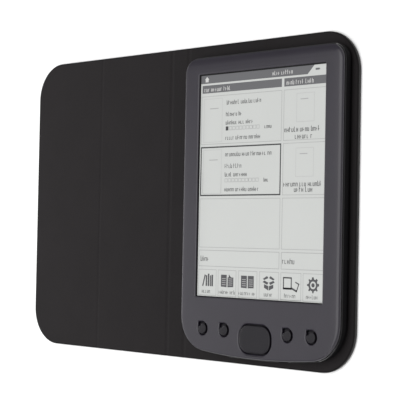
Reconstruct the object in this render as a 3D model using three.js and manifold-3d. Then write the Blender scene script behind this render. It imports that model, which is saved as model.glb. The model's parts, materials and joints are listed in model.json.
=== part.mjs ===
// A six-inch e-reader fixed in its folio cover, lying on its back with the cover open flat.
//
// Units are millimetres. +X points to the reader's right, +Y to the top of the page, +Z out of the screen.
// The origin is the centre of the open cover's footprint, on the surface that the cover lies on.
// Reader parts are drawn about the reader's own upright centreline, READER_X to the right of the origin.

import * as THREE from 'three';
import { mergeVertices } from 'three/addons/utils/BufferGeometryUtils.js';
import Module from 'manifold-3d';

const wasm = await Module();
wasm.setup();

// ---------------------------------------------------------------- driving dimensions

const GAP = 0.03; // between faces that are glued or soldered together
const CLEARANCE = 0.1; // between parts that only lie next to each other
const OVERCUT = 1; // how far a cutting tool runs past the face that it opens
const ARC_STEPS = 3; // half the number of chords in each rounded corner
const ROUND_STEPS = 16; // sides of a turned part
const HOLE_STEPS = 12; // sides of a drilled hole

// folio cover
const COVER_WIDTH = 261.6;
const COVER_HEIGHT = 176;
const COVER_THICKNESS = 2;
const COVER_CORNER = 22;
const SKIN = 0.5;
const LINING = 0.5;
const TURNED_EDGE = 0.6; // the skin turned up round the rim of a panel
const SPINE_WIDTH = 14; // from fold line to fold line
const PANEL_WIDTH = (COVER_WIDTH - SPINE_WIDTH) / 2;
const SPINE_FOLD_X = COVER_WIDTH / 2 - PANEL_WIDTH;
const COVER_FOLD_X = SPINE_FOLD_X - SPINE_WIDTH;
const STAND_FOLD_X = COVER_FOLD_X - PANEL_WIDTH / 2;
const FOLD_HALF = 2.2; // half the bare strip between two boards, at the spine
const STAND_FOLD_HALF = 1.7;
const STRIP_BOTTOM = 0.05;
const STRIP_TOP = 1;
const STRIP_ROOM = 0.2; // between a board's edge and the bare strip

// reader body
const READER_X = 69.8;
const HALF_WIDTH = 57.9;
const TOP_Y = 80.5;
const BOTTOM_Y = -84.5;
const TOP_CORNER = 9;
const BOTTOM_CORNER = 20;
const BOTTOM_ARC = 380; // radius of the bowed bottom edge
const PAD_THICKNESS = 0.5;
const PAD = { width: 95, height: 140, corner: 4, y: -2 };
const BACK_Z = COVER_THICKNESS + PAD_THICKNESS;
const FACE_Z = BACK_Z + 8;
const PARTING_Z = FACE_Z - 2;
const PARTING_GAP = 0.1;

// rear housing
const WALL = 1.6;
const FLOOR_Z = BACK_Z + 1.2;
const BACK_ROUND = { rise: 3, run: 2.5 };
const INNER_ROUND = { rise: 2.2, run: 1.8 };

// front bezel
const FACE_ROUND = { rise: 1.7, run: 1.7 };
const TOP_SLOPE_RUN = 4;
const TOP_SLOPE_DROP = 1.6;
const RIM = 2.6;
const PLATE_UNDERSIDE_Z = FACE_Z - 1.25;
const POCKET_TOP_Z = FACE_Z - 0.85;

// display
const DISPLAY_Y = 9.18; // middle of the visible page
const WINDOW = { x: 0.4, width: 92, height: 123, corner: 0.6 };
const DISPLAY_Z = FACE_Z - 1.1;
const PANEL_GLASS = { width: 101.8, height: 138.4, thickness: 0.7, top: 75.1 };
const PANEL_CORNER = 0.8;
const PANEL_FILM = { width: 98, height: 130, thickness: 0.5 };
const GASKET = { outerWidth: 97, outerHeight: 129, overhang: 0.1, thickness: 0.18 };
const GLASS_TOP_Z = DISPLAY_Z - PANEL_FILM.thickness;
const GLASS_BOTTOM_Z = GLASS_TOP_Z - PANEL_GLASS.thickness;
const FLEX = { half: 13, thick: 0.15, lower: 6.33, start: -57.5, fold: -64.28, turn: 0.5, end: -59.6 };
const FLEX_SOCKET = { back: -57, front: -61, slotBack: -59.2, wall: 1.4, top: 6.95 };
const MID_FRAME = { width: 101, low: -62.5, high: 76, corner: 2 };
const FRAME_WINDOW = { x: 32, width: 20, height: 84, corner: 3 };

// keys
const KEY_ROW_Y = -69.6;
const KEY_XS = [-39.4, -23, 23, 39.4];
const KEY_HOLE_RADIUS = 3.7;
const KEY_RADIUS = 3.2;
const KEY_NOTCH = { x: -2, y: 2.6, width: 2.8, height: 2 };
const KEY_TAB = { x: -2.05, y: 2.55, width: 1.7, height: 1 };
const KEY_FLANGE_RADIUS = 4.2;
const KEY_FLANGE_BOTTOM = 8.2;
const KEY_FLANGE_THICKNESS = 0.6;
const KEY_STEM_RADIUS = 1.2;
const KEY_TOP = FACE_Z + 0.36;
const KEY_STEM_BOTTOM = 7.75;

// direction pad
const DPAD_Y = -73.3;
const DPAD_HOLE = { width: 23.7, height: 15.9, corner: 7 };
const DPAD_GAP = 0.6;
const DPAD_FLANGE = 0.8;
const DPAD_ROUND = { rise: 0.6, run: 0.9 };
const DPAD_STEM = { radius: 1.2, bottom: 7.75, top: 8.35 };
const DPAD_RING = { inner: 1.9, outer: 3, bottom: 7.95, top: 8.45 };
const DPAD_SOCKET = { radius: 3.8, top: 8.75 };
const DPAD_TOP = FACE_Z + 0.5;

// boards and what is on them
const BOARD_BOTTOM = 4.9;
const BOARD_TOP = 5.7;
const BOARD_HALF_WIDTH = 45.5;
const BOARD_LOW_Y = -81;
const BOARD_HIGH_Y = -22;
const ON_BOARD = BOARD_TOP + GAP;
const SWITCH_TOP = 7.3;
const FRAME_BOTTOM = 7.35;
const BOARD_SCREWS = [[-42, -27], [42, -27], [-33, -76], [33, -76]];
const CAN = { x: -11, y: -40, width: 38, depth: 24, top: 7.2, wall: 0.3 };
const PROCESSOR = { x: -19, y: -40, width: 14, depth: 14, top: 6.8 };
const MEMORY = { x: -1.5, y: -40, width: 11, depth: 12, top: 6.7 };
const KEY_SWITCH = { width: 4.5, depth: 4.5 };
const NAV_SWITCH = { width: 7.4, depth: 7.4, plunger: 1.6 };
const SWITCH_BODY_TOP = SWITCH_TOP - 0.4;
const POWER_SWITCH = { width: 5, depth: 3.1, y: -78.55 };
const BATTERY_SOCKET = { x: 22.4, y: -27.1, width: 7.6, depth: 5, top: 7.2 };
const WIRE_RADIUS = 0.55;
const BATTERY = { width: 60, height: 80, y: 26, top: 7.2, corner: 2 };

// sockets and the power button in the bottom edge
const USB = {
  x: 20, width: 7.5, top: 8.2, front: -83.6, back: -77.8, wall: 0.35, tongue: 3.8, tongueBottom: 6.75,
};
const CARD = { x: -24, width: 14, front: -83, back: -70, slot: 11.4 };
const PORT_ROOM = 0.4; // between a part and the opening that it stands in
const POWER = {
  x: -18, z: 6.6, width: 8, height: 1.8, front: -84.4, flangeFront: -82.1, flangeBack: -81.2, nubBack: -80.6,
};

// screws
const HOUSING_SCREWS = [[-53.4, 62], [53.4, 62], [-53.4, -5], [53.4, -5], [-48.5, -71], [48.5, -71]];
const SCREW = {
  shank: 0.8, head: 1.4, headHeight: 0.9, top: 8, slotDepth: 0.4, slotLength: 0.75, slotWidth: 0.16,
};
const BOARD_SCREW = { shank: 0.7, head: 1.5, top: 6.4 };
const BOARD_HOLE = 1;
const BOSS = { radius: 2, bottom: 5.3, hole: 0.85, holeTop: 8.9 };
const POST = { radius: 2.4, top: 5.2, hole: 0.95, bore: 1.6, shoulder: 3.65 };

// ---------------------------------------------------------------- materials

function finish(color, roughness, metalness = 0) {
  return { color, roughness, metalness };
}

const FINISHES = {
  bezelPlastic: finish(0x504f54, 0.55),
  housingPlastic: finish(0x2c2b2f, 0.6),
  keyPlastic: finish(0x36353a, 0.5),
  page: finish(0xd3d3d0, 0.8),
  blackFoam: finish(0x161617, 0.9),
  skin: finish(0x232122, 0.6),
  lining: finish(0x322f30, 0.85),
  greyboard: finish(0x8c8478, 0.9),
  circuitBoard: finish(0x1f5a38, 0.5),
  chip: finish(0x1b1c1e, 0.5),
  steel: finish(0xa9abae, 0.35, 1),
  tinned: finish(0xc3c4c6, 0.3, 1),
  magnesium: finish(0x8d9094, 0.5, 1),
  batteryFoil: finish(0xb5b8ba, 0.4, 1),
  flexFilm: finish(0xa8641d, 0.4),
  redWire: finish(0xa01c18, 0.5),
  blackWire: finish(0x151515, 0.5),
  connector: finish(0xd8d3c4, 0.5),
};

// ---------------------------------------------------------------- solids

function toSolid(geometry) {
  const bare = geometry.clone();
  bare.deleteAttribute('normal');
  bare.deleteAttribute('uv');
  const merged = mergeVertices(bare);
  const vertProperties = Float32Array.from(merged.attributes.position.array);
  const triVerts = Uint32Array.from(merged.index.array);
  return new wasm.Manifold(new wasm.Mesh({ numProp: 3, vertProperties, triVerts }));
}

function toGeometry(solid) {
  const mesh = solid.getMesh();
  const geometry = new THREE.BufferGeometry();
  geometry.setAttribute('position', new THREE.BufferAttribute(mesh.vertProperties, 3));
  geometry.setIndex(new THREE.BufferAttribute(mesh.triVerts, 1));
  geometry.computeVertexNormals();
  return geometry;
}

function joined(...solids) {
  return solids.reduce((whole, next) => whole.add(next));
}

function cut(solid, ...tools) {
  return tools.reduce((left, tool) => left.subtract(tool), solid);
}

// A straight-sided solid between two heights, from a flat shape.
function slab(shape, bottom, top) {
  const depth = top - bottom;
  const geometry = new THREE.ExtrudeGeometry(shape, { depth, bevelEnabled: false, curveSegments: ARC_STEPS });
  geometry.translate(0, 0, bottom);
  return toSolid(geometry);
}

// A box given by its lowest and highest corners.
function block(x0, x1, y0, y1, z0, z1) {
  const geometry = new THREE.BoxGeometry(x1 - x0, y1 - y0, z1 - z0);
  geometry.translate((x0 + x1) / 2, (y0 + y1) / 2, (z0 + z1) / 2);
  return toSolid(geometry);
}

function rod(x, y, radius, bottom, top, sides = HOLE_STEPS) {
  const geometry = new THREE.CylinderGeometry(radius, radius, top - bottom, sides);
  geometry.rotateX(Math.PI / 2);
  geometry.translate(x, y, (bottom + top) / 2);
  return toSolid(geometry);
}

// A solid turned about an upright axis; each profile point is [radius, height].
function turned(profile, x, y) {
  const points = profile.map(([radius, height]) => new THREE.Vector2(radius, height));
  const geometry = new THREE.LatheGeometry(points, ROUND_STEPS);
  geometry.rotateX(Math.PI / 2);
  geometry.translate(x, y, 0);
  return toSolid(geometry);
}

// A flat shape drawn in the YZ plane, pushed out along X between two places.
function prismAlongX(points, x0, x1) {
  const shape = new THREE.Shape(points.map(([y, z]) => new THREE.Vector2(y, z)));
  const geometry = new THREE.ExtrudeGeometry(shape, { depth: x1 - x0, bevelEnabled: false });
  geometry.rotateY(Math.PI / 2);
  geometry.rotateX(Math.PI / 2);
  geometry.translate(x0, 0, 0);
  return toSolid(geometry);
}

function roundedRectangle(width, height, radius, x = 0, y = 0) {
  const right = x + width / 2 - radius;
  const left = x - width / 2 + radius;
  const high = y + height / 2 - radius;
  const low = y - height / 2 + radius;
  const shape = new THREE.Shape();
  shape.absarc(right, high, radius, 0, Math.PI / 2);
  shape.absarc(left, high, radius, Math.PI / 2, Math.PI);
  shape.absarc(left, low, radius, Math.PI, 1.5 * Math.PI);
  shape.absarc(right, low, radius, 1.5 * Math.PI, 2 * Math.PI);
  shape.closePath();
  return shape;
}

// The reader seen from the front: small top corners, large bottom corners, and a bowed bottom edge.
function readerOutline(inset) {
  const side = HALF_WIDTH - inset;
  const top = TOP_Y - inset;
  const topRadius = TOP_CORNER - inset;
  const bottomRadius = BOTTOM_CORNER - inset;
  const bowRadius = BOTTOM_ARC - inset;
  const bowCentre = BOTTOM_Y + BOTTOM_ARC;
  const cornerX = side - bottomRadius;
  const cornerY = bowCentre - Math.sqrt((bowRadius - bottomRadius) ** 2 - cornerX ** 2);
  const meeting = Math.atan2(cornerY - bowCentre, cornerX);
  const shape = new THREE.Shape();
  shape.absarc(side - topRadius, top - topRadius, topRadius, 0, Math.PI / 2);
  shape.absarc(-side + topRadius, top - topRadius, topRadius, Math.PI / 2, Math.PI);
  shape.absarc(-cornerX, cornerY, bottomRadius, Math.PI, -Math.PI - meeting + 2 * Math.PI);
  shape.absarc(0, bowCentre, bowRadius, Math.PI - meeting, meeting + 2 * Math.PI);
  shape.absarc(cornerX, cornerY, bottomRadius, meeting, 0);
  shape.closePath();
  return shape;
}

// A flat shape pushed up, with both ends rounded over and its widest outline in between.
function roundedEdges(shape, depth, rise, run, steps) {
  const bevel = { bevelThickness: rise, bevelSize: run, bevelSegments: steps };
  return new THREE.ExtrudeGeometry(shape, { depth, ...bevel, curveSegments: ARC_STEPS });
}

function roundedBody(inset, round, bottom, top) {
  const depth = top - bottom - 2 * round.rise;
  const geometry = roundedEdges(readerOutline(inset + round.run), depth, round.rise, round.run, 2);
  geometry.translate(0, 0, bottom + round.rise);
  return toSolid(geometry);
}

// ---------------------------------------------------------------- scene graph

const object = new THREE.Group();
const reader = new THREE.Group();
reader.position.x = READER_X;
object.add(reader);

function place(parent, name, solid, finishName) {
  const material = new THREE.MeshStandardMaterial(FINISHES[finishName]);
  const mesh = new THREE.Mesh(toGeometry(solid), material);
  mesh.name = name;
  parent.add(mesh);
}

// ---------------------------------------------------------------- front bezel

function keyHole(x) {
  const notchX = x + KEY_NOTCH.x;
  const notchY = KEY_ROW_Y + KEY_NOTCH.y;
  const low = PARTING_Z;
  const high = FACE_Z + OVERCUT;
  const notch = block(
    notchX - KEY_NOTCH.width / 2, notchX + KEY_NOTCH.width / 2,
    notchY - KEY_NOTCH.height / 2, notchY + KEY_NOTCH.height / 2,
    low, high,
  );
  return joined(rod(x, KEY_ROW_Y, KEY_HOLE_RADIUS, low, high, ROUND_STEPS), notch);
}

function topSlope() {
  const edge = TOP_Y + OVERCUT;
  const fall = (TOP_SLOPE_DROP / TOP_SLOPE_RUN) * OVERCUT;
  const points = [
    [TOP_Y - TOP_SLOPE_RUN, FACE_Z],
    [edge, FACE_Z - TOP_SLOPE_DROP - fall],
    [edge, FACE_Z + OVERCUT],
    [TOP_Y - TOP_SLOPE_RUN, FACE_Z + OVERCUT],
  ];
  return prismAlongX(points, -HALF_WIDTH - OVERCUT, HALF_WIDTH + OVERCUT);
}

function makeBezel() {
  const reach = HALF_WIDTH + OVERCUT;
  const blank = roundedBody(0, FACE_ROUND, PARTING_Z - 2 * FACE_ROUND.rise, FACE_Z);
  const below = block(-reach, reach, BOTTOM_Y - OVERCUT, TOP_Y + OVERCUT, 0, PARTING_Z);
  const shell = cut(blank, below, topSlope());
  const cavity = slab(readerOutline(RIM), PARTING_Z - OVERCUT, PLATE_UNDERSIDE_Z);
  const glassY = PANEL_GLASS.top - PANEL_GLASS.height / 2;
  const pocketShape = roundedRectangle(PANEL_GLASS.width + 1, PANEL_GLASS.height + 1, 1, 0, glassY);
  const pocket = slab(pocketShape, PARTING_Z, POCKET_TOP_Z);
  const windowShape = roundedRectangle(WINDOW.width, WINDOW.height, WINDOW.corner, WINDOW.x, DISPLAY_Y);
  const opening = slab(windowShape, PARTING_Z, FACE_Z + OVERCUT);
  const padShape = roundedRectangle(DPAD_HOLE.width, DPAD_HOLE.height, DPAD_HOLE.corner, 0, DPAD_Y);
  const padHole = slab(padShape, PARTING_Z, FACE_Z + OVERCUT);
  const plate = cut(shell, cavity, pocket, opening, padHole, ...KEY_XS.map(keyHole));
  const bosses = HOUSING_SCREWS.map(([x, y]) => rod(x, y, BOSS.radius, BOSS.bottom, PLATE_UNDERSIDE_Z + GAP));
  const pilots = HOUSING_SCREWS.map(([x, y]) => rod(x, y, BOSS.hole, BOSS.bottom - OVERCUT, BOSS.holeTop));
  place(reader, 'front_bezel', cut(joined(plate, ...bosses), ...pilots), 'bezelPlastic');
}

// ---------------------------------------------------------------- rear housing

// An opening through the bottom wall for something that stands in it, with room all round.
function bottomOpening(part, inner, low, high) {
  const half = part.width / 2 + PORT_ROOM;
  return block(part.x - half, part.x + half, BOTTOM_Y - OVERCUT, inner, low - PORT_ROOM, high + PORT_ROOM);
}

function bottomOpenings() {
  const rise = POWER.height / 2;
  return [
    bottomOpening(USB, USB.back, ON_BOARD, FACE_Z),
    bottomOpening(CARD, CARD.front + 3.5, FLOOR_Z + 0.2, BOARD_BOTTOM - 0.25),
    bottomOpening(POWER, BOTTOM_Y + 4, POWER.z - rise, POWER.z + rise),
  ];
}

function makeRearHousing() {
  const reach = HALF_WIDTH + OVERCUT;
  const seam = PARTING_Z - PARTING_GAP;
  const blank = roundedBody(0, BACK_ROUND, BACK_Z, seam + 2 * BACK_ROUND.rise);
  const above = block(-reach, reach, BOTTOM_Y - OVERCUT, TOP_Y + OVERCUT, seam, FACE_Z + BACK_ROUND.rise * 2);
  const hollow = roundedBody(WALL, INNER_ROUND, FLOOR_Z, FACE_Z + 2 * INNER_ROUND.rise);
  const tub = cut(blank, above, hollow);
  const posts = HOUSING_SCREWS.map(([x, y]) => rod(x, y, POST.radius, FLOOR_Z - GAP, POST.top));
  const boardPosts = BOARD_SCREWS.map(([x, y]) => rod(x, y, BOSS.radius, FLOOR_Z - GAP, BOARD_BOTTOM - GAP));
  const bores = HOUSING_SCREWS.flatMap(([x, y]) => [
    rod(x, y, POST.hole, BACK_Z - OVERCUT, POST.top + OVERCUT),
    rod(x, y, POST.bore, BACK_Z - OVERCUT, POST.shoulder),
  ]);
  const boreTop = BOARD_BOTTOM + OVERCUT;
  const boardBores = BOARD_SCREWS.map(([x, y]) => rod(x, y, BOSS.hole, FLOOR_Z + 0.2, boreTop));
  const whole = cut(joined(tub, ...posts, ...boardPosts), ...bores, ...boardBores, ...bottomOpenings());
  place(reader, 'rear_housing', whole, 'housingPlastic');
}

// ---------------------------------------------------------------- display stack

function makeDisplay() {
  const glassY = PANEL_GLASS.top - PANEL_GLASS.height / 2;
  const glassShape = roundedRectangle(PANEL_GLASS.width, PANEL_GLASS.height, PANEL_CORNER, 0, glassY);
  const filmShape = roundedRectangle(PANEL_FILM.width, PANEL_FILM.height, PANEL_CORNER, 0, DISPLAY_Y);
  const glass = slab(glassShape, GLASS_BOTTOM_Z, GLASS_TOP_Z);
  const film = slab(filmShape, GLASS_TOP_Z - GAP, DISPLAY_Z);
  place(reader, 'display_panel', joined(glass, film), 'page');

  const innerWidth = WINDOW.width - 2 * GASKET.overhang;
  const innerHeight = WINDOW.height - 2 * GASKET.overhang;
  const low = DISPLAY_Z + GAP;
  const outerShape = roundedRectangle(GASKET.outerWidth, GASKET.outerHeight, 1, 0, DISPLAY_Y);
  const innerShape = roundedRectangle(innerWidth, innerHeight, 0.4, WINDOW.x, DISPLAY_Y);
  const ring = slab(outerShape, low, low + GASKET.thickness);
  const middle = slab(innerShape, low - OVERCUT, low + OVERCUT);
  place(reader, 'display_gasket', cut(ring, middle), 'blackFoam');
}

// The ribbon leaves the front of the glass, folds round its lower edge and ends in the connector below.
function makeDisplayFlex() {
  const { half, thick, lower, start, fold, turn, end } = FLEX;
  const upper = GLASS_TOP_Z + GAP;
  const points = [
    [start, upper], [start, upper + thick], [fold + turn, upper + thick], [fold, upper + thick - turn],
    [fold, lower + turn], [fold + turn, lower], [end, lower], [end, lower + thick],
    [fold + turn, lower + thick], [fold + thick, lower + turn], [fold + thick, upper + thick - turn],
    [fold + turn, upper],
  ];
  place(reader, 'display_flex', prismAlongX(points, -half, half), 'flexFilm');

  const { front, back, slotBack, wall, top } = FLEX_SOCKET;
  const outer = half + wall;
  const inner = half + 2 * CLEARANCE;
  const shell = block(-outer, outer, front, back, ON_BOARD, top);
  const slot = block(-inner, inner, front - OVERCUT, slotBack, lower - CLEARANCE, lower + thick + CLEARANCE);
  place(reader, 'flex_connector', cut(shell, slot), 'connector');
}

function makeMidFrame() {
  const { width, low, high, corner } = MID_FRAME;
  const top = GLASS_BOTTOM_Z - GAP;
  const plate = slab(roundedRectangle(width, high - low, corner, 0, (high + low) / 2), FRAME_BOTTOM, top);
  const hole = FRAME_WINDOW;
  const windows = [-hole.x, hole.x].map((x) => {
    const shape = roundedRectangle(hole.width, hole.height, hole.corner, x, BATTERY.y);
    return slab(shape, FRAME_BOTTOM - OVERCUT, top + OVERCUT);
  });
  place(reader, 'mid_frame', cut(plate, ...windows), 'magnesium');
}

// ---------------------------------------------------------------- main board

// A box that stands on the board, with its sides drawn in by an inset.
function blockOn(part, top, inset) {
  const halfWidth = part.width / 2 - inset;
  const halfDepth = part.depth / 2 - inset;
  const bottom = part.bottom ?? ON_BOARD;
  return block(part.x - halfWidth, part.x + halfWidth, part.y - halfDepth, part.y + halfDepth, bottom, top);
}

function makeMainBoard() {
  const half = BOARD_HALF_WIDTH;
  const outline = block(-half, half, BOARD_LOW_Y, BOARD_HIGH_Y, BOARD_BOTTOM, BOARD_TOP);
  const within = slab(readerOutline(3.2), BOARD_BOTTOM - OVERCUT, BOARD_TOP + OVERCUT);
  const below = BOARD_BOTTOM - OVERCUT;
  const holes = BOARD_SCREWS.map(([x, y]) => rod(x, y, BOARD_HOLE, below, BOARD_TOP + OVERCUT));
  place(reader, 'main_board', cut(outline.intersect(within), ...holes), 'circuitBoard');

  const can = blockOn(CAN, CAN.top, 0);
  const inside = blockOn({ ...CAN, bottom: ON_BOARD - OVERCUT }, CAN.top - CAN.wall, CAN.wall);
  place(reader, 'shield_can', cut(can, inside), 'tinned');
  place(reader, 'processor', blockOn(PROCESSOR, PROCESSOR.top, 0), 'chip');
  place(reader, 'memory_chip', blockOn(MEMORY, MEMORY.top, 0), 'chip');
}

function makeSwitches() {
  KEY_XS.forEach((x, index) => {
    const body = blockOn({ ...KEY_SWITCH, x, y: KEY_ROW_Y }, SWITCH_BODY_TOP, 0);
    const plunger = rod(x, KEY_ROW_Y, KEY_STEM_RADIUS, SWITCH_BODY_TOP - CLEARANCE, SWITCH_TOP);
    place(reader, `key_switch_${index + 1}`, joined(body, plunger), 'steel');
  });

  const navBody = blockOn({ ...NAV_SWITCH, x: 0, y: DPAD_Y }, SWITCH_BODY_TOP, 0);
  const navStem = rod(0, DPAD_Y, NAV_SWITCH.plunger, SWITCH_BODY_TOP - CLEARANCE, SWITCH_TOP);
  place(reader, 'nav_switch', joined(navBody, navStem), 'steel');
  place(reader, 'power_switch', blockOn({ ...POWER_SWITCH, x: POWER.x }, SWITCH_TOP, 0), 'steel');
}

function makeSockets() {
  const usbHalf = USB.width / 2;
  const mouth = usbHalf - USB.wall;
  const shell = block(USB.x - usbHalf, USB.x + usbHalf, USB.front, USB.back, ON_BOARD, USB.top);
  const bay = block(
    USB.x - mouth, USB.x + mouth,
    USB.front - OVERCUT, USB.back - 0.6,
    ON_BOARD + USB.wall, USB.top - USB.wall,
  );
  const tongueHalf = USB.tongue / 2;
  const tongueTop = USB.tongueBottom + 0.55;
  const tongue = block(
    USB.x - tongueHalf, USB.x + tongueHalf,
    USB.front + 0.8, USB.back - 0.3,
    USB.tongueBottom, tongueTop,
  );
  place(reader, 'usb_socket', joined(cut(shell, bay), tongue), 'steel');

  const cardHalf = CARD.width / 2;
  const cardTop = BOARD_BOTTOM - GAP;
  const cage = block(CARD.x - cardHalf, CARD.x + cardHalf, CARD.front, CARD.back, FLOOR_Z + GAP, cardTop);
  const slot = block(
    CARD.x - CARD.slot / 2, CARD.x + CARD.slot / 2,
    CARD.front - OVERCUT, CARD.back - 0.6,
    FLOOR_Z + 0.2, cardTop - 0.2,
  );
  place(reader, 'card_socket', cut(cage, slot), 'steel');
}

// ---------------------------------------------------------------- battery

function makeBattery() {
  const round = 0.5;
  const depth = 2.45;
  const width = BATTERY.width - 2 * round;
  const height = BATTERY.height - 2 * round;
  const inner = roundedRectangle(width, height, BATTERY.corner, 0, BATTERY.y);
  const geometry = roundedEdges(inner, depth, round, round, 2);
  geometry.translate(0, 0, BATTERY.top - depth - round);
  place(reader, 'battery_pack', toSolid(geometry), 'batteryFoil');

  place(reader, 'battery_connector', blockOn(BATTERY_SOCKET, BATTERY_SOCKET.top, 0), 'connector');

  const edge = BATTERY.y - BATTERY.height / 2;
  const wireEnd = BATTERY_SOCKET.y + BATTERY_SOCKET.depth / 2 + 3 * CLEARANCE;
  const wire = new THREE.Shape();
  wire.absarc(0, 0, WIRE_RADIUS, 0, 2 * Math.PI);
  const runs = [
    { name: 'battery_lead_red', colour: 'redWire', x: BATTERY_SOCKET.x - 1.8 },
    { name: 'battery_lead_black', colour: 'blackWire', x: BATTERY_SOCKET.x + 1.8 },
  ];
  for (const run of runs) {
    const route = new THREE.CatmullRomCurve3([
      new THREE.Vector3(run.x - 2, edge - 0.3, 5.6),
      new THREE.Vector3(run.x - 2, edge - 2.5, 5.9),
      new THREE.Vector3(run.x - 0.4, edge - 6, 6.5),
      new THREE.Vector3(run.x, edge - 8.5, 6.5),
      new THREE.Vector3(run.x, wireEnd, 6.5),
    ]);
    const lead = new THREE.ExtrudeGeometry(wire, { steps: 8, extrudePath: route, curveSegments: ARC_STEPS });
    place(reader, run.name, toSolid(lead), run.colour);
  }
}

// ---------------------------------------------------------------- keys and direction pad

function makeFunctionKeys() {
  const flangeTop = KEY_FLANGE_BOTTOM + KEY_FLANGE_THICKNESS;
  const profile = [
    [0, KEY_STEM_BOTTOM], [KEY_STEM_RADIUS, KEY_STEM_BOTTOM], [KEY_STEM_RADIUS, KEY_FLANGE_BOTTOM],
    [KEY_FLANGE_RADIUS, KEY_FLANGE_BOTTOM], [KEY_FLANGE_RADIUS, flangeTop], [KEY_RADIUS, flangeTop],
    [KEY_RADIUS, FACE_Z - 0.1], [KEY_RADIUS - 0.35, FACE_Z + 0.18], [KEY_RADIUS / 2, FACE_Z + 0.32],
    [0, KEY_TOP],
  ];
  KEY_XS.forEach((x, index) => {
    const tabX = x + KEY_TAB.x;
    const tabY = KEY_ROW_Y + KEY_TAB.y;
    const tab = block(
      tabX - KEY_TAB.width / 2, tabX + KEY_TAB.width / 2,
      tabY - KEY_TAB.height / 2, tabY + KEY_TAB.height / 2,
      flangeTop - CLEARANCE, FACE_Z - 0.6,
    );
    place(reader, `function_key_${index + 1}`, joined(turned(profile, x, KEY_ROW_Y), tab), 'keyPlastic');
  });
}

function makeDirectionPad() {
  const stem = rod(0, DPAD_Y, DPAD_STEM.radius, DPAD_STEM.bottom, DPAD_STEM.top, ROUND_STEPS);
  place(reader, 'dpad_stem', stem, 'keyPlastic');

  const { inner: eyeRadius, outer: ringRadius, bottom: ringBottom, top: ringTop } = DPAD_RING;
  const ring = rod(0, DPAD_Y, ringRadius, ringBottom, ringTop, ROUND_STEPS);
  const eye = rod(0, DPAD_Y, eyeRadius, ringBottom - OVERCUT, ringTop + OVERCUT, ROUND_STEPS);
  place(reader, 'dpad_rocker', cut(ring, eye), 'keyPlastic');

  const width = DPAD_HOLE.width - 2 * DPAD_GAP;
  const height = DPAD_HOLE.height - 2 * DPAD_GAP;
  const corner = DPAD_HOLE.corner - DPAD_GAP;
  const { rise, run } = DPAD_ROUND;
  const depth = 1;
  const shoulder = DPAD_TOP - depth / 2 - rise;
  const inner = roundedRectangle(width - 2 * run, height - 2 * run, corner - run, 0, DPAD_Y);
  const geometry = roundedEdges(inner, depth, rise, run, 3);
  geometry.translate(0, 0, DPAD_TOP - depth - rise);
  const lowerHalf = block(-width, width, DPAD_Y - height, DPAD_Y + height, 0, shoulder);
  const crown = cut(toSolid(geometry), lowerHalf);
  const bottom = ringBottom - CLEARANCE / 2;
  const body = slab(roundedRectangle(width, height, corner, 0, DPAD_Y), bottom, shoulder + GAP);
  const flangeShape = roundedRectangle(
    width + 2 * DPAD_FLANGE, height + 2 * DPAD_FLANGE, corner + DPAD_FLANGE, 0, DPAD_Y,
  );
  const flange = slab(flangeShape, bottom, bottom + 0.6);
  const socket = rod(0, DPAD_Y, DPAD_SOCKET.radius, bottom - OVERCUT, DPAD_SOCKET.top, ROUND_STEPS);
  place(reader, 'dpad_cap', cut(joined(crown, body, flange), socket), 'keyPlastic');
}

function makePowerButton() {
  const half = POWER.width / 2;
  const rise = POWER.height / 2;
  const { x, z, front, flangeFront, flangeBack, nubBack } = POWER;
  const cap = block(x - half, x + half, front, flangeBack, z - rise, z + rise);
  const flange = block(x - half - 1, x + half + 1, flangeFront, flangeBack, z - rise, z + rise + 0.3);
  const nub = block(x - 1.2, x + 1.2, flangeBack - CLEARANCE, nubBack, z - 0.6, z + 0.6);
  place(reader, 'power_button', joined(cap, flange, nub), 'keyPlastic');
}

// ---------------------------------------------------------------- screws

// The crossed driver recess in a screw's head.
function crossSlot(x, y, bottom, top) {
  const { slotLength, slotWidth } = SCREW;
  const along = block(x - slotLength, x + slotLength, y - slotWidth, y + slotWidth, bottom, top);
  const across = block(x - slotWidth, x + slotWidth, y - slotLength, y + slotLength, bottom, top);
  return joined(along, across);
}

function makeScrews() {
  HOUSING_SCREWS.forEach(([x, y], index) => {
    const headBottom = POST.shoulder - GAP - SCREW.headHeight;
    const head = rod(x, y, SCREW.head, headBottom, POST.shoulder - GAP);
    const shank = rod(x, y, SCREW.shank, POST.shoulder - 2 * GAP, SCREW.top);
    const recess = crossSlot(x, y, headBottom - OVERCUT, headBottom + SCREW.slotDepth);
    place(reader, `housing_screw_${index + 1}`, cut(joined(head, shank), recess), 'steel');
  });
  BOARD_SCREWS.forEach(([x, y], index) => {
    const head = rod(x, y, BOARD_SCREW.head, ON_BOARD, BOARD_SCREW.top);
    const shank = rod(x, y, BOARD_SCREW.shank, FLOOR_Z + 0.3, ON_BOARD + GAP);
    const recess = crossSlot(x, y, BOARD_SCREW.top - SCREW.slotDepth, BOARD_SCREW.top + OVERCUT);
    place(reader, `board_screw_${index + 1}`, cut(joined(head, shank), recess), 'steel');
  });
}

// ---------------------------------------------------------------- folio cover

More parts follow.
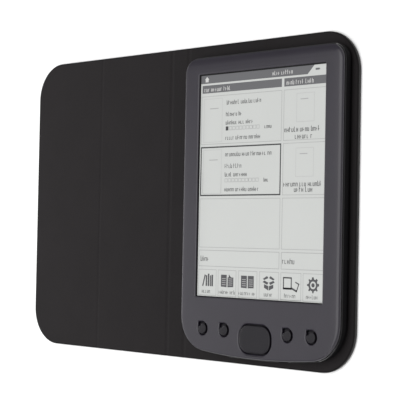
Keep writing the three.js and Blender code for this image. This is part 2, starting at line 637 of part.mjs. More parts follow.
// One panel's outline. Its corners are rounded only at the end that is the cover's outer edge.
function panelOutline(left, right, outerEnd, inset) {
  const high = COVER_HEIGHT / 2 - inset;
  const radius = COVER_CORNER - inset;
  const shape = new THREE.Shape();
  if (outerEnd === 'right') {
    const centre = right - inset - radius;
    shape.absarc(centre, -high + radius, radius, -Math.PI / 2, 0);
    shape.absarc(centre, high - radius, radius, 0, Math.PI / 2);
    shape.lineTo(left, high);
    shape.lineTo(left, -high);
  } else if (outerEnd === 'left') {
    const centre = left + inset + radius;
    shape.absarc(centre, high - radius, radius, Math.PI / 2, Math.PI);
    shape.absarc(centre, -high + radius, radius, Math.PI, 1.5 * Math.PI);
    shape.lineTo(right, -high);
    shape.lineTo(right, high);
  } else {
    shape.moveTo(left, -high);
    shape.lineTo(right, -high);
    shape.lineTo(right, high);
    shape.lineTo(left, high);
  }
  shape.closePath();
  return shape;
}

// The skin is turned up round the free edges of the board, and the lining is glued in level with it.
function makePanel(name, left, right, outerEnd) {
  const pocketLeft = outerEnd === 'left' ? left : left - OVERCUT;
  const pocketRight = outerEnd === 'right' ? right : right + OVERCUT;
  const whole = slab(panelOutline(left, right, outerEnd, 0), 0, COVER_THICKNESS);
  const pocketShape = panelOutline(pocketLeft, pocketRight, outerEnd, TURNED_EDGE);
  const pocket = slab(pocketShape, SKIN, COVER_THICKNESS + OVERCUT);
  place(object, `${name}_skin`, cut(whole, pocket), 'skin');
  const inner = panelOutline(left, right, outerEnd, TURNED_EDGE + CLEARANCE);
  const liningBottom = COVER_THICKNESS - LINING;
  place(object, `${name}_board`, slab(inner, SKIN + GAP, liningBottom - GAP), 'greyboard');
  place(object, `${name}_lining`, slab(inner, liningBottom, COVER_THICKNESS), 'lining');
}

// The bare strip between two boards, where skin and lining are glued face to face and bend.
function makeFoldStrip(name, x, half) {
  const high = COVER_HEIGHT / 2;
  const reach = half - STRIP_ROOM;
  place(object, name, block(x - reach, x + reach, -high, high, STRIP_BOTTOM, STRIP_TOP), 'lining');
}

function makeCover() {
  const edge = COVER_WIDTH / 2;
  makePanel('back', SPINE_FOLD_X + FOLD_HALF, edge, 'right');
  makePanel('spine', COVER_FOLD_X + FOLD_HALF, SPINE_FOLD_X - FOLD_HALF, 'none');
  makePanel('front_inner', STAND_FOLD_X + STAND_FOLD_HALF, COVER_FOLD_X - FOLD_HALF, 'none');
  makePanel('front_outer', -edge, STAND_FOLD_X - STAND_FOLD_HALF, 'left');
  makeFoldStrip('spine_fold_strip', SPINE_FOLD_X, FOLD_HALF);
  makeFoldStrip('cover_fold_strip', COVER_FOLD_X, FOLD_HALF);
  makeFoldStrip('stand_fold_strip', STAND_FOLD_X, STAND_FOLD_HALF);

  const pad = roundedRectangle(PAD.width, PAD.height, PAD.corner, 0, PAD.y);
  place(reader, 'adhesive_pad', slab(pad, COVER_THICKNESS + GAP, BACK_Z - GAP), 'blackFoam');
}

// ---------------------------------------------------------------- assembly

makeBezel();
makeRearHousing();
makeDisplay();
makeDisplayFlex();
makeMidFrame();
makeMainBoard();
makeSwitches();
makeSockets();
makeBattery();
makeFunctionKeys();
makeDirectionPad();
makePowerButton();
makeScrews();
makeCover();

export default object;
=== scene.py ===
"""The looks of an e-reader that lies on its back in an open folio cover.

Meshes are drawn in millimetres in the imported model's frame and scaled to metres as they are made.
"""

import json
import math
import random

import bmesh
import bpy
from mathutils import Matrix, Vector
from mathutils.geometry import tessellate_polygon


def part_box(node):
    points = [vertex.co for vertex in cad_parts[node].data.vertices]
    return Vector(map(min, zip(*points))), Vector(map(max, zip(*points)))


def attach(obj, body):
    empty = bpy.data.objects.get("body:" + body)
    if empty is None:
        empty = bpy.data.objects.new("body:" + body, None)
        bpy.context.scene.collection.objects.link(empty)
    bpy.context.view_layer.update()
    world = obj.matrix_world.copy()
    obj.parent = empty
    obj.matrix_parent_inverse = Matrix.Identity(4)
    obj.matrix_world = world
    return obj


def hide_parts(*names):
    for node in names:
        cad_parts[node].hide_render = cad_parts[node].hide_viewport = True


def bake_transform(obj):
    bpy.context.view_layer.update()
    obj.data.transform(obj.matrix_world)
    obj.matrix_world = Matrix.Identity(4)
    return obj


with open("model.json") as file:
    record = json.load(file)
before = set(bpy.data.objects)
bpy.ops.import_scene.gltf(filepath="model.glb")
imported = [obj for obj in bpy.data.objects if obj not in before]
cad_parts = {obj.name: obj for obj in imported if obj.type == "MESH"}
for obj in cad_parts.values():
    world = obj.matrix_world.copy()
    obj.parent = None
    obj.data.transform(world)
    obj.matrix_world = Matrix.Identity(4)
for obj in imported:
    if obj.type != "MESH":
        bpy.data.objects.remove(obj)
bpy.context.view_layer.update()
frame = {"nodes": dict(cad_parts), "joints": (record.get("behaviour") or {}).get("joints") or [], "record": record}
NODES = frame["nodes"]
JOINTS = {joint["name"]: joint for joint in frame["joints"]}
MM = 0.001


def node_box(name):
    low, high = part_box(name)
    return low / MM, high / MM


def joint_x(name):
    return JOINTS[name]["pos_m"][0] / MM


# ---------------------------------------------------------------- places taken from the frame

BEZEL_LOW, BEZEL_HIGH = node_box("front_bezel")
HOUSING_LOW, HOUSING_HIGH = node_box("rear_housing")
RIM_LOW, RIM_HIGH = node_box("display_gasket")
READER_X = (BEZEL_LOW.x + BEZEL_HIGH.x) / 2
HALF_WIDTH = (BEZEL_HIGH.x - BEZEL_LOW.x) / 2
TOP_Y = BEZEL_HIGH.y
BOTTOM_Y = BEZEL_LOW.y
FACE_Z = BEZEL_HIGH.z
PARTING_Z = FACE_Z - 2
BACK_Z = HOUSING_LOW.z
SEAM_Z = HOUSING_HIGH.z
PAGE_Z = node_box("display_panel")[1].z
PAGE_Y = (RIM_LOW.y + RIM_HIGH.y) / 2
COVER_LOW = node_box("front_outer_skin")[0]
COVER_HIGH = node_box("back_skin")[1]
COVER_HALF_WIDTH = (COVER_HIGH.x - COVER_LOW.x) / 2
COVER_HALF_HEIGHT = (COVER_HIGH.y - COVER_LOW.y) / 2
COVER_TOP = COVER_HIGH.z
SPINE_FOLD = joint_x("spine_fold")
COVER_FOLD = joint_x("cover_fold")
STAND_FOLD = joint_x("stand_fold")

# sizes that the boxes don't give, in millimetres and degrees
TOP_CORNER = 9
BOTTOM_CORNER = 20
BOTTOM_ARC = 380
COVER_CORNER = 22
SPINE_FOLD_HALF = 2.2
STAND_FOLD_HALF = 1.7
FOOT_BLEND_START = 4
FOOT_BLEND_LENGTH = 24
KEY_NAMES = [f"function_key_{i}" for i in (1, 2, 3, 4)]
KEY_CUT_AT = 118
KEY_CUT_HALF = 66
KEY_CUT_DEPTH = 1.15


# ---------------------------------------------------------------- mesh tools

def make_object(name, points, faces, sharp=38):
    mesh = bpy.data.meshes.new(name)
    mesh.from_pydata([Vector(p) * MM for p in points], [], faces)
    tidy = bmesh.new()
    tidy.from_mesh(mesh)
    bmesh.ops.remove_doubles(tidy, verts=tidy.verts, dist=1e-7)
    bmesh.ops.dissolve_degenerate(tidy, edges=tidy.edges, dist=1e-7)
    bmesh.ops.recalc_face_normals(tidy, faces=tidy.faces)
    tidy.to_mesh(mesh)
    tidy.free()
    mesh.polygons.foreach_set("use_smooth", [True] * len(mesh.polygons))
    mesh.set_sharp_from_angle(angle=math.radians(sharp))
    made = bpy.data.objects.new(name, mesh)
    bpy.context.scene.collection.objects.link(made)
    return made


class Shell:
    """Gathers closed loops and the faces between them for one mesh."""

    def __init__(self):
        self.points = []
        self.faces = []

    def loop(self, outline, height):
        """Adds a loop; height is a number, or gives the height at (x, y)."""
        start = len(self.points)
        for x, y in outline:
            z = height(x, y) if callable(height) else height
            self.points.append((x, y, z))
        return start, len(outline)

    def bridge(self, a, b):
        first, count = a
        second, _ = b
        for i in range(count):
            j = (i + 1) % count
            self.faces.append((first + i, first + j, second + j, second + i))

    def chain(self, loops):
        for a, b in zip(loops, loops[1:]):
            self.bridge(a, b)

    def fill(self, *loops):
        """Fills the flat region inside the first loop and outside the others."""
        rings = [[Vector((*self.points[s + i][:2], 0)) for i in range(n)] for s, n in loops]
        index = [s + i for s, n in loops for i in range(n)]
        for triangle in tessellate_polygon(rings):
            self.faces.append(tuple(index[i] for i in triangle))

    def build(self, name, sharp=38):
        return make_object(name, self.points, self.faces, sharp)


def arc(x, y, radius, start, end, steps):
    out = []
    for i in range(steps + 1):
        angle = math.radians(start + (end - start) * i / steps)
        out.append((x + radius * math.cos(angle), y + radius * math.sin(angle)))
    return out


def rounded_rectangle(x, y, width, height, radius, steps=8):
    right, left = x + width / 2 - radius, x - width / 2 + radius
    high, low = y + height / 2 - radius, y - height / 2 + radius
    return (
        arc(right, high, radius, 0, 90, steps)
        + arc(left, high, radius, 90, 180, steps)
        + arc(left, low, radius, 180, 270, steps)
        + arc(right, low, radius, 270, 360, steps)
    )


def reader_loop(inset):
    """The reader's outline drawn in by an inset: small top corners, large lower ones, a bowed foot."""
    side = HALF_WIDTH - inset
    top = TOP_Y - inset
    small = TOP_CORNER - inset
    large = BOTTOM_CORNER - inset
    bow = BOTTOM_ARC - inset
    centre = BOTTOM_Y + BOTTOM_ARC
    corner_x = side - large
    corner_y = centre - math.sqrt((bow - large) ** 2 - corner_x**2)
    meeting = math.degrees(math.atan2(corner_y - centre, corner_x))
    points = (
        arc(side - small, top - small, small, 0, 90, 14)
        + arc(-side + small, top - small, small, 90, 180, 14)
        + arc(-corner_x, corner_y, large, 180, 180 - meeting, 20)
        + arc(0, centre, bow, 180 - meeting, 360 + meeting, 24)[1:-1]
        + arc(corner_x, corner_y, large, meeting, 0, 20)
    )
    return [(READER_X + x, y) for x, y in points]


def face_loop(inset):
    """The outline drawn in by an inset that narrows towards the foot, where the keys leave little room."""
    wide = reader_loop(inset)
    narrow = reader_loop(EDGE_START + (inset - EDGE_START) * FOOT_SHARE)
    points = []
    for (wide_x, wide_y), (narrow_x, narrow_y) in zip(wide, narrow):
        share = min(1.0, max(0.0, (wide_y - BOTTOM_Y - FOOT_BLEND_START) / FOOT_BLEND_LENGTH))
        share = share * share * (3 - 2 * share)
        points.append((wide_x * share + narrow_x * (1 - share), wide_y * share + narrow_y * (1 - share)))
    return points


def polar_loop(x, y, radius_at, steps=72):
    out = []
    for i in range(steps):
        angle = 2 * math.pi * i / steps
        radius = radius_at(angle)
        out.append((x + radius * math.cos(angle), y + radius * math.sin(angle)))
    return out


def circle(radius):
    return lambda angle: radius


def notched(radius, reach_x, reach_y):
    """A circle whose upper left is squared off into a corner at (-reach_x, reach_y)."""

    def radius_at(angle):
        c, s = math.cos(angle), math.sin(angle)
        if c >= 0 or s <= 0:
            return radius
        return max(radius, min(reach_x / -c, reach_y / s))

    return radius_at


def flattened(radius):
    """A circle that is cut back a little towards the upper left."""

    def radius_at(angle):
        away = abs(math.degrees(angle) - KEY_CUT_AT) / KEY_CUT_HALF
        return radius - (KEY_CUT_DEPTH * math.cos(away * math.pi / 2) ** 2 if away < 1 else 0)

    return radius_at


def widened(radius_at, extra):
    return lambda angle: radius_at(angle) + extra


def carve(target, cutter):
    cut = target.modifiers.new("carve", "BOOLEAN")
    cut.object = cutter
    cut.operation = "DIFFERENCE"
    cut.solver = "EXACT"
    carved = target.evaluated_get(bpy.context.evaluated_depsgraph_get())
    target.data = bpy.data.meshes.new_from_object(carved)
    target.modifiers.clear()
    bpy.data.objects.remove(cutter)


def box_points(x0, x1, y0, y1, z0, z1):
    points = [(x, y, z) for x in (x0, x1) for y in (y0, y1) for z in (z0, z1)]
    faces = [(0, 1, 3, 2), (4, 6, 7, 5), (0, 4, 5, 1), (2, 3, 7, 6), (0, 2, 6, 4), (1, 5, 7, 3)]
    return points, faces


# ---------------------------------------------------------------- materials

def new_material(name):
    made = bpy.data.materials.new(name)
    made.use_nodes = True
    nodes = made.node_tree.nodes
    return made, nodes, made.node_tree.links, nodes["Principled BSDF"]


def noise(nodes, links, place, scale, detail=3.0, roughness=0.5):
    made = nodes.new("ShaderNodeTexNoise")
    made.inputs["Scale"].default_value = scale
    made.inputs["Detail"].default_value = detail
    made.inputs["Roughness"].default_value = roughness
    links.new(place, made.inputs["Vector"])
    return made.outputs["Fac"]


def cells(nodes, links, place, scale):
    made = nodes.new("ShaderNodeTexVoronoi")
    made.feature = "SMOOTH_F1"
    made.inputs["Scale"].default_value = scale
    links.new(place, made.inputs["Vector"])
    return made.outputs["Distance"]


def ramp(nodes, links, value, low, high, start=0.35, end=0.65):
    """A colour that goes from low to high as the value goes from start to end."""
    made = nodes.new("ShaderNodeValToRGB")
    made.color_ramp.elements[0].position = start
    made.color_ramp.elements[1].position = end
    made.color_ramp.elements[0].color = (*low, 1)
    made.color_ramp.elements[1].color = (*high, 1)
    links.new(value, made.inputs["Fac"])
    return made.outputs["Color"]


def spread(nodes, links, value, low, high, start=0.3, end=0.7):
    made = nodes.new("ShaderNodeMapRange")
    made.inputs["From Min"].default_value = start
    made.inputs["From Max"].default_value = end
    made.inputs["To Min"].default_value = low
    made.inputs["To Max"].default_value = high
    links.new(value, made.inputs["Value"])
    return made.outputs["Result"]


def bump(nodes, links, height, distance, under=None):
    """Relief of that depth in millimetres, on top of another relief if one is given."""
    made = nodes.new("ShaderNodeBump")
    made.inputs["Strength"].default_value = 1
    made.inputs["Distance"].default_value = distance * MM
    links.new(height, made.inputs["Height"])
    if under is not None:
        links.new(under, made.inputs["Normal"])
    return made.outputs["Normal"]


def shade(colour, factor):
    return tuple(min(1.0, c * factor) for c in colour)


def surface(
    name, colour, rough=(0.45, 0.6), metal=0.0, mottle=0.12, grain=0.25, depth=0.004,
    specular=0.5, coat=0.0, waves=0.0,
):
    """Moulded, coated or metal surface: fine grain in relief, mottled colour and uneven gloss."""
    made, nodes, links, shader = new_material(name)
    place = nodes.new("ShaderNodeTexCoord").outputs["Object"]
    broad = noise(nodes, links, place, 60.0, 4.0)
    fine = noise(nodes, links, place, 1 / (grain * MM), 2.0)
    links.new(ramp(nodes, links, broad, shade(colour, 1 - mottle), shade(colour, 1 + mottle)),
              shader.inputs["Base Color"])
    links.new(spread(nodes, links, fine, *rough), shader.inputs["Roughness"])
    normal = bump(nodes, links, fine, depth)
    if waves:
        slow = noise(nodes, links, place, 30.0, 1.0)
        normal = bump(nodes, links, slow, waves, normal)
    links.new(normal, shader.inputs["Normal"])
    shader.inputs["Metallic"].default_value = metal
    shader.inputs["Specular IOR Level"].default_value = specular
    shader.inputs["Coat Weight"].default_value = coat
    return made


def leather(name, colour):
    """Synthetic leather: small irregular cells with rounded tops and fine pores between them."""
    made, nodes, links, shader = new_material(name)
    place = nodes.new("ShaderNodeTexCoord").outputs["Object"]
    warp = nodes.new("ShaderNodeTexNoise")
    warp.inputs["Scale"].default_value = 500.0
    links.new(place, warp.inputs["Vector"])
    bend = nodes.new("ShaderNodeMix")
    bend.data_type = "VECTOR"
    bend.inputs["Factor"].default_value = 0.0006
    links.new(place, bend.inputs["A"])
    links.new(warp.outputs["Color"], bend.inputs["B"])
    bent = bend.outputs["Result"]
    grains = cells(nodes, links, bent, 1100.0)
    pores = noise(nodes, links, place, 5200.0, 3.0, 0.6)
    broad = noise(nodes, links, place, 45.0, 5.0)
    links.new(ramp(nodes, links, broad, shade(colour, 0.85), shade(colour, 1.18)),
              shader.inputs["Base Color"])
    links.new(spread(nodes, links, grains, 0.42, 0.62, 0.1, 0.6), shader.inputs["Roughness"])
    relief = bump(nodes, links, spread(nodes, links, grains, 1, 0, 0.05, 0.6), 0.07)
    links.new(bump(nodes, links, pores, 0.008, relief), shader.inputs["Normal"])
    shader.inputs["Specular IOR Level"].default_value = 0.4
    return made


# painted shade on the lining: how much of its colour is left at each place across the cover, full at the left edge
# and darkest from the spine towards the reader
LINING_PAINTED_SHADE = [(-120, 0.95), (-60, 0.92), (-9, 0.88), (-4, 0.76), (60, 0.8)]
LINING_SHADE_LEFT_EDGE = 1.0
LINING_SHADE_RIGHT_EDGE = 0.86


def microfibre(name, colour):
    """Napped lining: very fine fibres, faint brushed patches and a soft sheen, under painted shade that darkens it
    towards the reader.
    """
    made, nodes, links, shader = new_material(name)
    place = nodes.new("ShaderNodeTexCoord").outputs["Object"]
    nap = noise(nodes, links, place, 3600.0, 4.0, 0.7)
    patches = noise(nodes, links, place, 38.0, 5.0, 0.6)
    fibres = noise(nodes, links, place, 900.0, 6.0, 0.75)
    blend = nodes.new("ShaderNodeMix")
    blend.data_type = "RGBA"
    blend.inputs["Factor"].default_value = 0.45
    links.new(ramp(nodes, links, patches, shade(colour, 0.88), shade(colour, 1.1)), blend.inputs["A"])
    links.new(ramp(nodes, links, fibres, shade(colour, 0.7), shade(colour, 1.32)), blend.inputs["B"])
    across = nodes.new("ShaderNodeSeparateXYZ")
    links.new(place, across.inputs["Vector"])
    # painted shade across the cover: lighter at the left edge, darker from the spine towards the reader
    painted_shade = nodes.new("ShaderNodeValToRGB")
    painted_shade.color_ramp.elements[0].position = 0.0
    painted_shade.color_ramp.elements[0].color = (LINING_SHADE_LEFT_EDGE, LINING_SHADE_LEFT_EDGE, LINING_SHADE_LEFT_EDGE, 1)
    painted_shade.color_ramp.elements[1].position = 1.0
    painted_shade.color_ramp.elements[1].color = (LINING_SHADE_RIGHT_EDGE, LINING_SHADE_RIGHT_EDGE, LINING_SHADE_RIGHT_EDGE, 1)
    for x, level in LINING_PAINTED_SHADE:
        stop = painted_shade.color_ramp.elements.new((x / COVER_HALF_WIDTH + 1) / 2)
        stop.color = (level, level, level, 1)
    edge = COVER_HALF_WIDTH * MM
    links.new(spread(nodes, links, across.outputs["X"], 0, 1, -edge, edge), painted_shade.inputs["Fac"])
    shaded_lining = nodes.new("ShaderNodeMix")
    shaded_lining.data_type = "RGBA"
    shaded_lining.blend_type = "MULTIPLY"
    shaded_lining.inputs["Factor"].default_value = 1
    links.new(blend.outputs["Result"], shaded_lining.inputs["A"])
    links.new(painted_shade.outputs["Color"], shaded_lining.inputs["B"])
    links.new(shaded_lining.outputs["Result"], shader.inputs["Base Color"])
    links.new(spread(nodes, links, nap, 0.8, 0.95), shader.inputs["Roughness"])
    relief = bump(nodes, links, nap, 0.02)
    links.new(bump(nodes, links, fibres, 0.02, relief), shader.inputs["Normal"])
    shader.inputs["Specular IOR Level"].default_value = 0.16
    shader.inputs["Sheen Weight"].default_value = 0.05
    shader.inputs["Sheen Roughness"].default_value = 0.5
    return made


def paper(name, colour, speck):
    """Electronic paper: a matt face with the faint uneven speckle of its ink capsules."""
    made, nodes, links, shader = new_material(name)
    place = nodes.new("ShaderNodeTexCoord").outputs["Object"]
    capsules = noise(nodes, links, place, 7000.0, 2.0, 0.7)
    clouds = noise(nodes, links, place, 35.0, 3.0)
    blend = nodes.new("ShaderNodeMix")
    blend.data_type = "RGBA"
    blend.inputs["Factor"].default_value = 0.5
    low, high = shade(colour, 1 - speck), shade(colour, 1 + speck)
    links.new(ramp(nodes, links, capsules, low, high), blend.inputs["A"])
    links.new(ramp(nodes, links, clouds, shade(colour, 0.985), shade(colour, 1.015)), blend.inputs["B"])
    links.new(blend.outputs["Result"], shader.inputs["Base Color"])
    links.new(spread(nodes, links, capsules, 0.5, 0.7), shader.inputs["Roughness"])
    links.new(bump(nodes, links, capsules, 0.002), shader.inputs["Normal"])
    shader.inputs["Specular IOR Level"].default_value = 0.3
    return made


def circuit(name, colour):
    """Solder mask with faint copper tracks under it."""
    made, nodes, links, shader = new_material(name)
    place = nodes.new("ShaderNodeTexCoord").outputs["Object"]
    tracks = nodes.new("ShaderNodeTexBrick")
    tracks.inputs["Scale"].default_value = 260.0
    tracks.inputs["Mortar Size"].default_value = 0.05
    tracks.inputs["Color1"].default_value = (*colour, 1)
    tracks.inputs["Color2"].default_value = (*shade(colour, 0.8), 1)
    tracks.inputs["Mortar"].default_value = (*shade(colour, 1.9), 1)
    links.new(place, tracks.inputs["Vector"])
    links.new(tracks.outputs["Color"], shader.inputs["Base Color"])
    fine = noise(nodes, links, place, 3000.0)
    links.new(spread(nodes, links, fine, 0.3, 0.45), shader.inputs["Roughness"])
    links.new(bump(nodes, links, tracks.outputs["Fac"], 0.03), shader.inputs["Normal"])
    return made


FINISH = {
    "bezel_plastic": surface("bezel_plastic", (0.012, 0.0095, 0.0168), (0.34, 0.44), mottle=0.06, grain=0.16,
                             depth=0.003, specular=0.5),
    "housing_plastic": surface("housing_plastic", (0.0035, 0.0033, 0.0038), (0.5, 0.6), mottle=0.08,
                               grain=0.3, depth=0.006, specular=0.04),
    "key_plastic": surface("key_plastic", (0.0082, 0.0072, 0.01), (0.42, 0.52), mottle=0.06, grain=0.2,
                           depth=0.003, specular=0.2),
    "page": paper("page", (0.452, 0.462, 0.45), 0.05),
    "black_foam": surface("black_foam", (0.012, 0.012, 0.012), (0.85, 0.95), grain=0.4, depth=0.08,
                          specular=0.2),
    "cover_skin": leather("cover_skin", (0.014, 0.0125, 0.0128)),
    "cover_lining": microfibre("cover_lining", (0.0119, 0.0101, 0.0108)),
    "greyboard": surface("greyboard", (0.27, 0.24, 0.2), (0.8, 0.95), mottle=0.2, grain=0.5, depth=0.05),
    "circuit_board": circuit("circuit_board", (0.02, 0.12, 0.05)),
    "chip": surface("chip", (0.02, 0.02, 0.021), (0.4, 0.6), grain=0.1, depth=0.006),
    "steel": surface("steel", (0.45, 0.45, 0.46), (0.22, 0.38), metal=1.0, grain=0.2, depth=0.004),
    "tinned_steel": surface("tinned_steel", (0.45, 0.45, 0.45), (0.24, 0.4), metal=1.0, grain=0.4,
                            depth=0.006),
    "magnesium": surface("magnesium", (0.36, 0.37, 0.38), (0.45, 0.6), metal=1.0, grain=0.4, depth=0.02),
    "battery_foil": surface("battery_foil", (0.55, 0.56, 0.57), (0.25, 0.4), metal=1.0, grain=0.6,
                            depth=0.02, waves=0.15),
    "flex_film": surface("flex_film", (0.4, 0.15, 0.02), (0.25, 0.35), grain=0.3, depth=0.004, coat=0.4),
    "red_wire": surface("red_wire", (0.35, 0.02, 0.02), (0.35, 0.45), grain=0.2, depth=0.01),
    "black_wire": surface("black_wire", (0.012, 0.012, 0.012), (0.35, 0.45), grain=0.2, depth=0.01),
    "connector": surface("connector", (0.65, 0.62, 0.52), (0.4, 0.5), grain=0.2, depth=0.005),
}
# edge paint, made darker to serve as well as painted shade in the groove beside the lining
EDGE_PAINT_AND_SHADE = surface("edge_paint_and_shade", (0.0028, 0.0025, 0.0026), (0.5, 0.65), mottle=0.2, grain=0.3,
                     depth=0.01, specular=0.12)
# a paler copy of the bezel plastic for the steep outer faces: painted highlight
BEZEL_SIDE_HIGHLIGHT = surface("bezel_side_highlight", (0.021, 0.0184, 0.026), (0.34, 0.44), mottle=0.06, grain=0.16,
                     depth=0.003)
RIM_SATIN = surface("rim_satin", (0.0036, 0.0034, 0.004), (0.36, 0.46), grain=0.16, depth=0.002,
                    specular=0.06)
RIM_GLOSS = surface("rim_gloss", (0.0045, 0.0043, 0.005), (0.2, 0.26), grain=0.16, depth=0.002,
                    specular=0.9)
INK = {
    "page_ink_dark": paper("page_ink_dark", (0.04, 0.04, 0.042), 0.15),
    "page_ink_grey": paper("page_ink_grey", (0.104, 0.104, 0.11), 0.1),
    "page_ink_text": paper("page_ink_text", (0.035, 0.035, 0.037), 0.15),
    "page_ink_icon": paper("page_ink_icon", (0.062, 0.062, 0.066), 0.12),
    "page_ink_pale": paper("page_ink_pale", (0.3, 0.3, 0.3), 0.06),
    "page_ink_faint": paper("page_ink_faint", (0.375, 0.375, 0.375), 0.05),
    "page_ink_white": paper("page_ink_white", (0.48, 0.48, 0.47), 0.05),
}


def dress(piece, slot_name, body=None, replaces=()):
    """Gives a new piece its material and slot, and makes it ride on its body."""
    piece.data.materials.clear()
    piece.data.materials.append(FINISH[slot_name])
    if body:
        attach(piece, body)
    if replaces:
        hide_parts(*replaces)


for entry in frame["record"]["subparts"]:
    node = NODES[entry["node"]]
    node.data.materials.clear()
    node.data.materials.append(FINISH[entry["material_slot"]])


# ---------------------------------------------------------------- front bezel

WINDOW_X = READER_X + 0.4
WINDOW_WIDTH = 92
WINDOW_HEIGHT = 123
WINDOW_CORNER = 0.6
PAD_LOW, PAD_HIGH = node_box("dpad_cap")
PAD_Y = (PAD_LOW.y + PAD_HIGH.y) / 2
PAD_HOLE = (23.7, 15.9, 7.0)
KEY_RADIUS = 3.0
KEY_HOLE_RADIUS = 3.7
KEY_HOLE = notched(KEY_HOLE_RADIUS, 3.4, 3.6)
KEY_BOXES = [node_box(name) for name in KEY_NAMES]
KEY_PLACES = [((low.x + high.x) / 2, (low.y + high.y) / 2) for low, high in KEY_BOXES]
PLATE_UNDER_Z = FACE_Z - 1.25
POCKET_TOP_Z = FACE_Z - 0.85
HOLE_CURVE = [(0.0, 0.0), (0.2, 0.05), (0.4, 0.16), (0.6, 0.33), (0.8, 0.57), (0.95, 0.82), (1.0, 1.0)]
SLOPE_RUN = 6.6
SLOPE_DROP = 1.85
EDGE_START = 0.62
UNDERCUT = 0.6
FOOT_SHARE = 0.26
EDGE_RUN = 2.8
EDGE_DROP = 1.3
CROWN_DROP = 0.2
CROWN_RUN = 7.0
CROWN_INSETS = (3.8, 4.2, 4.6, 5.0, 5.4, 5.8, 6.2, 6.6, CROWN_RUN)
SIDE_REACH = 3
SIDE_TILT = 0.75
BEZEL_WALL = 2.6
PAGE_CLEARANCE = 1
EDGE_CURVE = [(1 - math.cos(math.radians(turn)) ** 0.64, 1 - math.sin(math.radians(turn)))
              for turn in (0, 5, 10, 16, 22, 29, 36, 44, 52, 60, 68, 75, 81, 86, 90)]


def soft_minimum(a, b, softness):
    overlap = max(softness - abs(a - b), 0) / softness
    return min(a, b) - overlap * overlap * softness / 4


def falls_to_top(z):
    """The face bends down towards the top edge of the reader."""

    def height(x, y):
        past = max(0.0, (y - (TOP_Y - SLOPE_RUN)) / SLOPE_RUN)
        limit = FACE_Z - SLOPE_DROP * past**2.2
        if past == 0.0 or z < PARTING_Z + 0.2:
            return z
        return max(soft_minimum(z, limit, 0.2), PARTING_Z + 0.1)

    return height


def window_loop(extra):
    return rounded_rectangle(
        WINDOW_X, PAGE_Y, WINDOW_WIDTH + 2 * extra, WINDOW_HEIGHT + 2 * extra, WINDOW_CORNER + extra, 5
    )


def pad_loop(extra):
    width, height, radius = PAD_HOLE
    return rounded_rectangle(READER_X, PAD_Y, width + 2 * extra, height + 2 * extra, radius + extra, 14)


def paint_bezel_side_highlight(bezel):
    """The steep faces round the outside get a paler copy of the front's plastic, a painted highlight along the
    edge.
    """
    bezel.data.materials.append(BEZEL_SIDE_HIGHLIGHT)
    for face in bezel.data.polygons:
        x, y = face.center.x / MM, face.center.y / MM
        edge = min(x - BEZEL_LOW.x, BEZEL_HIGH.x - x, BEZEL_HIGH.y - y, y - BEZEL_LOW.y)
        if edge < SIDE_REACH and face.normal.z < SIDE_TILT:
            face.material_index = 1


def make_bezel():
    """One shell: an undercut foot, a rolled edge, a slightly crowned face, and the openings in it."""
    shell = Shell()
    drawn_in = EDGE_START + UNDERCUT
    foot = [(drawn_in, PARTING_Z), (drawn_in, PARTING_Z + 0.24), (EDGE_START + 0.06, PARTING_Z + 0.28)]
    outer = [(EDGE_START, PARTING_Z + 0.34)]
    outer += [(EDGE_START + EDGE_RUN * run, FACE_Z - EDGE_DROP * drop) for run, drop in EDGE_CURVE]
    outer += [(inset, FACE_Z) for inset in CROWN_INSETS]
    outer = [(inset, z - CROWN_DROP * ((CROWN_RUN - inset) / CROWN_RUN) ** 2) for inset, z in outer]
    rings = [shell.loop(reader_loop(inset), z) for inset, z in foot]
    rings += [shell.loop(face_loop(inset), falls_to_top(z)) for inset, z in outer]
    shell.chain(rings)

    def hole(outline_at, bottom, soft, depth):
        profile = [(soft + 0.2, 0)]
        profile += [(soft * (1 - run), depth * drop) for run, drop in HOLE_CURVE]
        loops = [shell.loop(outline_at(extra), FACE_Z - drop) for extra, drop in profile]
        loops.append(shell.loop(outline_at(0), bottom))
        shell.chain(loops)
        return loops

    window = hole(window_loop, POCKET_TOP_Z, 1.0, 0.22)
    pad = hole(pad_loop, PLATE_UNDER_Z, 0.8, 0.6)
    keys = [
        hole(lambda extra, x=x, y=y: polar_loop(x, y, widened(KEY_HOLE, extra)), PLATE_UNDER_Z, 0.7, 0.5)
        for x, y in KEY_PLACES
    ]
    shell.fill(rings[-1], window[0], pad[0], *[k[0] for k in keys])

    inner_low = shell.loop(reader_loop(BEZEL_WALL), PARTING_Z)
    inner_high = shell.loop(reader_loop(BEZEL_WALL), PLATE_UNDER_Z)
    shell.chain([rings[0], inner_low, inner_high])
    panel_low, panel_high = node_box("display_panel")
    pocket_outline = rounded_rectangle(
        READER_X, (panel_low.y + panel_high.y) / 2,
        panel_high.x - panel_low.x + PAGE_CLEARANCE, panel_high.y - panel_low.y + PAGE_CLEARANCE, 1,
    )
    pocket_low = shell.loop(pocket_outline, PLATE_UNDER_Z)
    pocket_high = shell.loop(pocket_outline, POCKET_TOP_Z)
    shell.bridge(pocket_low, pocket_high)
    shell.fill(inner_high, pocket_low, pad[-1], *[k[-1] for k in keys])
    shell.fill(pocket_high, window[-1])
    bezel = shell.build("bezel", 60)
    dress(bezel, "bezel_plastic", "reader", ["front_bezel"])
    paint_bezel_side_highlight(bezel)


# how far the black ring shows inside the window
MASK_LEFT, MASK_RIGHT, MASK_BOTTOM, MASK_TOP = 0.66, 0.16, 0.45, 0.66


